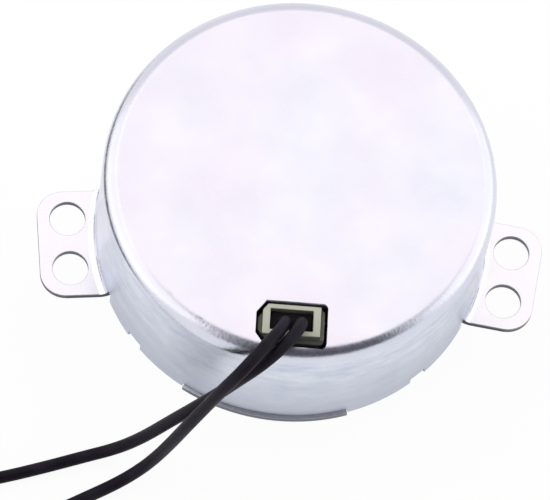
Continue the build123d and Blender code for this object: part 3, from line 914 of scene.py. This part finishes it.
@dataclass
class Housing:
    """Drawn can, closing plate, gear plate and the posts between the plates.

    The window's foot is the side of the window that cuts into the can's rounded corner. The strips of
    the corner there are too thin for rounded edges.
    """

    shop: Workshop
    can_edge: float = 0.1
    plate_edge: float = 0.08
    plate_reach: float = 25.05
    window_foot: Zone = ((-5.0, -24.0, 17.0), (5.0, -22.5, 20.0))

    def build(self) -> None:
        """Polish the can and the closing plate, which show, and paint the plate and posts inside."""
        zinc = BluePassivatedZinc().material()
        self.shop.polish("rear_can", "can_shell", zinc, self.can_edge, self.window_foot)
        tumbled = BluePassivatedZinc(
            # The plate's cut edges take a paler mix of dull steel and painted shade
            "tumbled_zinc", sheared_and_shaded="#72747B", sheared_from=self.plate_reach, smooth=0.35, cloudy=0.45
        ).material()
        self.shop.polish("front_plate", "closing_plate", tumbled, self.plate_edge)
        self.shop.paint(tumbled, "gear_plate")
        posts = TurnedMetal("turned_post_steel", "#CFCFD0", "#A9A9AC", roughness=0.3)
        self.shop.paint(posts.material(), "spacer_posts")


@dataclass
class Stator:
    """Claw poles, bobbin with its plug tower, coil and terminal pins."""

    shop: Workshop
    bobbin_edge: float = 0.1

    def build(self) -> None:
        """Polish the bobbin, whose tower shows in the window, and paint the rest."""
        # The tower's rim takes painted light and its near lip painted shade, over the olive nylon
        nylon = RimmedNylon("olive_nylon", "#8A8B7A", "#75766A", roughness=0.45, ior=1.53, gloss=0.3)
        self.shop.polish("coil_bobbin", "bobbin_moulding", nylon.material(), self.bobbin_edge)
        self.shop.paint(RolledSteel().material(), "front_pole_plate", "rear_pole_plate")
        self.shop.paint(WoundCopper().material(), "coil_winding")
        self.shop.paint(CoilTape().material(), "coil_wrap")
        tinned = TinPlate("tinned_terminal_brass").material()
        self.shop.paint(tinned, "terminal_pins", "crimp_terminals")


@dataclass
class GearTrain:
    """Rotor, intermediate gears, output gear and shaft, with their pins, washers and bush."""

    shop: Workshop
    shaft_edge: float = 0.06

    def build(self) -> None:
        """Paint the wheels and polish the shaft and bush, which stand out of the case."""
        acetal = MouldedPlastic("white_acetal", "#ECEAE2", "#DFDCD2", roughness=0.36, ior=1.48)
        wheels = ("rotor_hub", "first_gear", "second_gear", "third_gear", "output_gear")
        self.shop.paint(acetal.material(), *wheels)
        self.shop.paint(SinteredFerrite().material(), "rotor_magnet")
        washer = MouldedPlastic("stamped_nylon", "#E2E0D8", "#D2D0C8", roughness=0.45, ior=1.53)
        self.shop.paint(washer.material(), "rotor_washer")
        steel = TurnedMetal(
            "ground_shaft_steel", "#C6C6CA", "#BDBDC1", roughness=0.24, ring_depth=0.0003
        ).material()
        self.shop.polish("output_shaft", "shaft_turning", steel, self.shaft_edge)
        pins = ("rotor_pin", "first_gear_pin", "second_gear_pin", "third_gear_pin", "shaft_washer")
        self.shop.paint(steel, *pins)
        brass = TurnedMetal("turned_bush_brass", "#D9BC78", "#B8954C", roughness=0.28)
        self.shop.polish("shaft_bush", "bush_turning", brass.material(), self.shaft_edge)


class Side(Enum):
    """The two leads, seen from the plug's side of the rear face."""

    LEFT = "left"
    RIGHT = "right"


LEAD_ROUTES: dict[Side, list[Point]] = {
    Side.LEFT: [
        (-0.95, -19.6, 18.5),
        (-0.95, -19.9, 19.8),
        (-1.05, -20.75, 21.2),
        (-1.5, -22.05, 22.6),
        (-2.25, -23.5, 23.8),
        (-3.2, -25.0, 24.7),
        (-4.15, -26.5, 25.2),
        (-5.2, -27.9, 25.2),
        (-6.3, -29.05, 24.3),
        (-7.45, -29.75, 22.4),
        (-8.65, -30.05, 19.3),
        (-10.05, -30.25, 14.9),
        (-11.9, -30.6, 9.3),
        (-13.5, -30.4, 2.8),
        (-15.0, -30.2, -2.8),
        (-16.9, -30.6, -6.9),
        (-19.8, -32.0, -9.0),
        (-24.0, -34.4, -9.2),
        (-30.2, -38.0, -9.2),
        (-38.5, -41.8, -9.2),
        (-47.5, -44.6, -9.2),
        (-56.0, -46.4, -9.2),
        (-62.0, -47.2, -9.2),
    ],
    Side.RIGHT: [
        (1.15, -19.6, 18.5),
        (1.1, -19.9, 19.8),
        (0.95, -20.75, 21.1),
        (0.5, -22.0, 22.2),
        (-0.25, -23.4, 23.0),
        (-1.2, -24.8, 23.4),
        (-2.5, -26.15, 23.2),
        (-3.9, -27.2, 22.3),
        (-5.25, -27.75, 20.7),
        (-6.6, -27.95, 18.3),
        (-8.15, -27.95, 14.8),
        (-10.95, -28.0, 9.4),
        (-14.2, -27.7, 2.4),
        (-16.9, -27.5, -3.5),
        (-20.0, -27.7, -7.6),
        (-24.2, -28.6, -9.2),
        (-29.0, -30.4, -9.2),
        (-34.8, -32.4, -9.2),
        (-43.5, -34.9, -9.2),
        (-52.5, -36.8, -9.2),
        (-61.5, -38.0, -9.2),
        (-68.5, -38.5, -9.2),
    ],
}


@dataclass
class PlugAndLeads:
    """Two-way plug, its two leads and their tinned ends."""

    shop: Workshop
    lead_diameter: float = 1.6
    lead_steps: int = 8
    lead_roundness: int = 6
    lead_length: float = 100.0
    tip_length: float = 5.0
    tip_diameter: float = 0.8
    strands_across: int = 3
    strand_count: int = 6
    strand_turns: float = 1.2
    strand_steps: int = 40
    strand_sides: int = 10
    plug_edge: float = 0.12

    def build(self) -> None:
        """Polish the plug, lay the leads and twist their ends."""
        nylon = MouldedPlastic("black_nylon", "#121214", "#0C0C0D", roughness=0.7, ior=1.53, gloss=0.15)
        plug = self.shop.polish("plug_housing", "plug_moulding", nylon.material(), self.plug_edge)
        tips = self.twist_tips()
        material = ExtrudedPvc().material()
        # The plug, its sockets and the tips belong to both leads
        for side, points in LEAD_ROUTES.items():
            lead = self.lay_lead(side, points)
            self.shop.assign(lead, material)
            self.shop.stand_for(lead, f"lead_{side.value}")

    def lay_lead(self, side: Side, points: list[Point]) -> bpy.types.Object:
        """Lay one lead on a smooth line.

        Args:
            side: Which of the two leads it is.
            points: Its route.

        Returns:
            The lead's curve.
        """
        curve = bpy.data.curves.new(f"lead_cord_{side.value}", "CURVE")
        curve.dimensions = "3D"
        curve.resolution_u = self.lead_steps
        curve.bevel_depth = self.lead_diameter / 2 * MM
        curve.bevel_resolution = self.lead_roundness
        curve.use_fill_caps = True
        spline = curve.splines.new("NURBS")
        spline.points.add(len(points) - 1)
        for control, point in zip(spline.points, points):
            control.co = (*(part * MM for part in point), 1.0)
        spline.order_u = 3
        spline.use_endpoint_u = True
        return add_object(curve.name, curve)

    def twist_tips(self) -> bpy.types.Object:
        """Twist tinned strands at the end of each lead.

        Returns:
            The strands of both leads as one piece, which stands for the tips.
        """
        shape = bmesh.new()
        strand_radius = self.tip_diameter / 2 / self.strands_across * MM
        for points in LEAD_ROUTES.values():
            end = Vector(points[-1]) * MM
            run = (end - Vector(points[-2]) * MM).normalized()
            place = Matrix.Translation(end) @ run.to_track_quat("Z", "Y").to_matrix().to_4x4()
            self.add_strand(shape, place, 0.0, strand_radius)
            for index in range(self.strand_count):
                turned = place @ Matrix.Rotation(index * math.tau / self.strand_count, 4, "Z")
                self.add_strand(shape, turned, 2 * strand_radius, strand_radius)
        for face in shape.faces:
            face.smooth = True
        piece = add_mesh("lead_strands", shape)
        self.shop.assign(piece, TinPlate("tinned_copper_strand").material())
        return self.shop.stand_for(piece, "lead_tips")

    def add_strand(self, shape: bmesh.types.BMesh, place: Matrix, offset: float, radius: float) -> None:
        """Add one strand, extruded in steps that turn about the bundle's line.

        Args:
            shape: Mesh that takes the strand.
            place: Start and direction of the bundle.
            offset: Distance of the strand from the middle of the bundle, in metres.
            radius: Radius of the strand in metres.
        """
        made = bmesh.ops.create_circle(
            shape,
            cap_ends=True,
            segments=self.strand_sides,
            radius=radius,
            matrix=place @ Matrix.Translation((offset, 0, 0)),
        )
        face = made["verts"][0].link_faces[0]
        bmesh.ops.spin(
            shape,
            geom=[face],
            cent=place.translation,
            axis=place.to_3x3() @ Vector((0, 0, 1)),
            dvec=place.to_3x3() @ Vector((0, 0, self.tip_length * MM / self.strand_steps)),
            angle=self.strand_turns * math.tau,
            steps=self.strand_steps,
            use_merge=False,
        )


# Power of an area lamp, per square metre, whose face adds one strength of white to what lies behind it
LAMP_POWER_PER_AREA = 4.0

# A radial gradient goes from zero to one in a full turn, and is halfway straight ahead
FULL_TURN = 360.0
STRAIGHT_AHEAD = 0.5


@dataclass(frozen=True)
class Softbox:
    """A lamp behind a white sheet, which brightens one side of the white surroundings."""

    name: str
    direction: Point
    size: tuple[float, float]
    brightness: float
    colour: str = "#FFFFFF"
    distance: float = 600.0

    def hang(self, aim: Vector) -> None:
        """Hang the softbox where it faces the object, out of the camera's sight.

        Args:
            aim: Point that it faces, in metres.
        """
        lamp = bpy.data.lights.new(self.name, "AREA")
        lamp.shape = "RECTANGLE"
        lamp.size = self.size[0] * MM
        lamp.size_y = self.size[1] * MM
        lamp.energy = self.brightness * LAMP_POWER_PER_AREA * lamp.size * lamp.size_y
        lamp.color = linear_colour(self.colour)[:3]
        place = Vector(self.direction).normalized()
        hung = add_object(self.name, lamp)
        hung.location = aim + place * self.distance * MM
        hung.rotation_mode = "QUATERNION"
        hung.rotation_quaternion = place.to_track_quat("Z", "Y")
        hung.visible_camera = False


SOFTBOXES = (
    Softbox("top_back_softbox", (0.05, 0.42, 0.91), (560.0, 420.0), brightness=0.3, colour="#FFEFE6"),
    Softbox("left_softbox", (-0.8, 0.05, 0.6), (900.0, 780.0), brightness=0.36),
    Softbox("right_softbox", (0.86, 0.24, 0.46), (700.0, 640.0), brightness=0.36),
)


@dataclass
class Studio:
    """Pale floor, a black card on it, softboxes, surroundings and the camera.

    The unlit part of the room is a wedge, seen from above. Its apex, its least height and its furthest
    reach back are parts of a direction whose length is one.
    """

    white: str = "#FFFFFF"
    floor_level: float = -10.05
    floor_reach: float = 3000.0
    floor_shade_share: float = 0.07
    card_colour: str = "#18181A"
    card_direction: float = 168.0
    card_distance: float = 110.0
    card_depth: float = 80.0
    card_width: float = 130.0
    card_lift: float = 0.05
    unlit_colour: str = "#4A4C58"
    unlit_apex: Point = (0.01, 0.33, 0.0)
    unlit_direction: float = -80.5
    unlit_half_angle: float = 29.0
    unlit_fade_angle: float = 5.0
    unlit_low: float = 0.38
    unlit_back: float = 0.02
    unlit_fade: float = 0.1
    aim: Point = (0.0, 0.0, 10.0)
    camera_distance: float = 761.8
    camera_elevation: float = 66.36
    camera_azimuth: float = -6.66
    camera_roll: float = 10.53
    image_width: float = 550.0
    image_height: float = 500.0
    aim_pixel: tuple[float, float] = (295.2, 207.6)
    focal_pixels: float = 5980.0
    sensor_width: float = 36.0
    clip_near: float = 10.0
    clip_far: float = 10000.0

    def build(self) -> None:
        """Set up everything round the object."""
        bpy.context.scene.view_settings.view_transform = "Standard"
        self.lay_floor()
        self.lay_card()
        self.surround()
        for softbox in SOFTBOXES:
            softbox.hang(Vector(self.aim) * MM)
        self.place_camera()

    def add_sheet(self, name: str, place: Matrix, half_size: Vector, finish: str) -> bpy.types.Object:
        """Add a flat sheet to the stage.

        Args:
            name: Name of the sheet.
            place: Middle of the sheet and the way it faces, in metres.
            half_size: Half of its width and height, in metres.
            finish: Name of its new material.

        Returns:
            The sheet.
        """
        shape = bmesh.new()
        bmesh.ops.create_grid(shape, x_segments=1, y_segments=1, size=1.0)
        bmesh.ops.scale(shape, verts=shape.verts, vec=half_size.to_3d())
        bmesh.ops.transform(shape, verts=shape.verts, matrix=place)
        sheet = add_mesh(name, shape)
        sheet.data.materials.append(bpy.data.materials.new(finish))
        return sheet

    def lay_floor(self) -> None:
        """Lay a white floor that still takes the object's shadow."""
        reach = self.floor_reach * MM
        level = Matrix.Translation((0, 0, self.floor_level * MM))
        floor = self.add_sheet("floor", level, Vector((reach, reach)), "white_floor")
        tree = start_nodes(floor.active_material)
        paper = add_node(tree, "BsdfDiffuse", {"Color": self.white}).outputs[0]
        glow = add_node(tree, "Emission", {"Color": self.white, "Strength": 1.0}).outputs[0]
        path = add_node(tree, "LightPath").outputs
        eye_or_gloss = add_node(
            tree, "Math", {0: path["Is Camera Ray"], 1: path["Is Glossy Ray"]}, operation="MAXIMUM"
        ).outputs[0]
        seen = add_node(
            tree, "Math", {0: eye_or_gloss, 1: path["Is Transmission Ray"]}, operation="MAXIMUM"
        ).outputs[0]
        share = add_node(
            tree, "Math", {0: seen, 1: 1 - self.floor_shade_share}, operation="MULTIPLY"
        ).outputs[0]
        mixed = add_node(tree, "MixShader", {0: share, 1: paper, 2: glow}).outputs[0]
        add_node(tree, "OutputMaterial", {"Surface": mixed})

    def lay_card(self) -> None:
        """Lay a black card on the floor at the left, which only reflections show, as a dark edge."""
        turn = Matrix.Rotation(math.radians(self.card_direction), 4, "Z")
        middle = (self.card_distance * MM, 0, (self.floor_level + self.card_lift) * MM)
        half_size = Vector((self.card_depth, self.card_width)) * MM / 2
        card = self.add_sheet("low_card", turn @ Matrix.Translation(middle), half_size, "black_card")
        tree = start_nodes(card.active_material)
        paper = add_node(tree, "BsdfDiffuse", {"Color": self.card_colour}).outputs[0]
        add_node(tree, "OutputMaterial", {"Surface": paper})
        card.visible_camera = False
        card.visible_diffuse = False
        card.visible_shadow = False

    def surround(self) -> None:
        """Make the surroundings white, apart from the unlit part of the room behind the viewer."""
        world = bpy.data.worlds.new("surroundings")
        bpy.context.scene.world = world
        tree = start_nodes(world)
        direction = add_node(tree, "TexCoord").outputs["Generated"]
        facing = add_node(
            tree,
            "Mapping",
            {
                "Vector": direction,
                "Location": self.unlit_apex,
                "Rotation": (0, 0, math.radians(self.unlit_direction)),
            },
            vector_type="TEXTURE",
        ).outputs["Vector"]
        around = add_node(tree, "TexGradient", {"Vector": facing}, gradient_type="RADIAL").outputs["Fac"]
        offset = add_node(tree, "Math", {0: around, 1: STRAIGHT_AHEAD}, operation="SUBTRACT").outputs[0]
        apart = add_node(tree, "Math", {0: offset}, operation="ABSOLUTE").outputs[0]
        side = add_node(
            tree,
            "MapRange",
            {
                "Value": apart,
                "From Min": (self.unlit_half_angle + self.unlit_fade_angle) / FULL_TURN,
                "From Max": self.unlit_half_angle / FULL_TURN,
            },
        ).outputs["Result"]
        parts = add_node(tree, "SeparateXYZ", {"Vector": direction}).outputs
        dark_from = self.unlit_low + self.unlit_fade
        above = add_node(
            tree, "MapRange", {"Value": parts["Z"], "From Min": self.unlit_low, "From Max": dark_from}
        ).outputs["Result"]
        dark_to = self.unlit_back - self.unlit_fade
        behind = add_node(
            tree, "MapRange", {"Value": parts["Y"], "From Min": self.unlit_back, "From Max": dark_to}
        ).outputs["Result"]
        ceiling = add_node(tree, "Math", {0: above, 1: behind}, operation="MULTIPLY").outputs[0]
        unlit = add_node(tree, "Math", {0: side, 1: ceiling}, operation="MULTIPLY").outputs[0]
        colour = add_node(
            tree,
            "Mix",
            {"Factor": unlit, COLOUR_A: self.white, COLOUR_B: self.unlit_colour},
            data_type="RGBA",
        ).outputs[MIXED_COLOUR]
        shader = add_node(tree, "Background", {"Color": colour, "Strength": 1.0}).outputs[0]
        add_node(tree, "OutputWorld", {"Surface": shader})

    def place_camera(self) -> None:
        """Stand the camera where the photograph was taken from."""
        elevation = math.radians(self.camera_elevation)
        azimuth = math.radians(self.camera_azimuth)
        back = Vector((
            math.sin(azimuth) * math.cos(elevation),
            -math.cos(azimuth) * math.cos(elevation),
            math.sin(elevation),
        ))
        level_right = Vector((math.cos(azimuth), math.sin(azimuth), 0.0))
        level_up = back.cross(level_right)
        turn = math.radians(self.camera_roll)
        right = level_right * math.cos(turn) + level_up * math.sin(turn)
        up = level_up * math.cos(turn) - level_right * math.sin(turn)
        per_pixel = self.camera_distance / self.focal_pixels
        aside = (self.image_width / 2 - self.aim_pixel[0]) * per_pixel
        above = (self.aim_pixel[1] - self.image_height / 2) * per_pixel
        place = Vector(self.aim) + back * self.camera_distance + right * aside + up * above
        data = bpy.data.cameras.new("camera")
        data.sensor_width = self.sensor_width
        data.lens = self.focal_pixels / self.image_width * self.sensor_width
        data.clip_start = self.clip_near * MM
        data.clip_end = self.clip_far * MM
        camera = add_object("camera", data)
        turned = Matrix((right, up, back)).transposed().to_4x4()
        camera.matrix_world = Matrix.Translation(place * MM) @ turned
        bpy.context.scene.camera = camera


def clear_scene() -> None:
    """Remove the objects that Blender starts with."""
    for item in list(bpy.data.objects):
        bpy.data.objects.remove(item)


def main() -> None:
    """Dress the motor and set up its studio."""
    logging.basicConfig(level=logging.INFO, format="%(name)s: %(message)s")
    clear_scene()
    shop = Workshop()
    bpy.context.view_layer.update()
    Studio().build()
    PlugAndLeads(shop).build()
    Housing(shop).build()
    Stator(shop).build()
    GearTrain(shop).build()


if __name__ == "__main__":
    main()
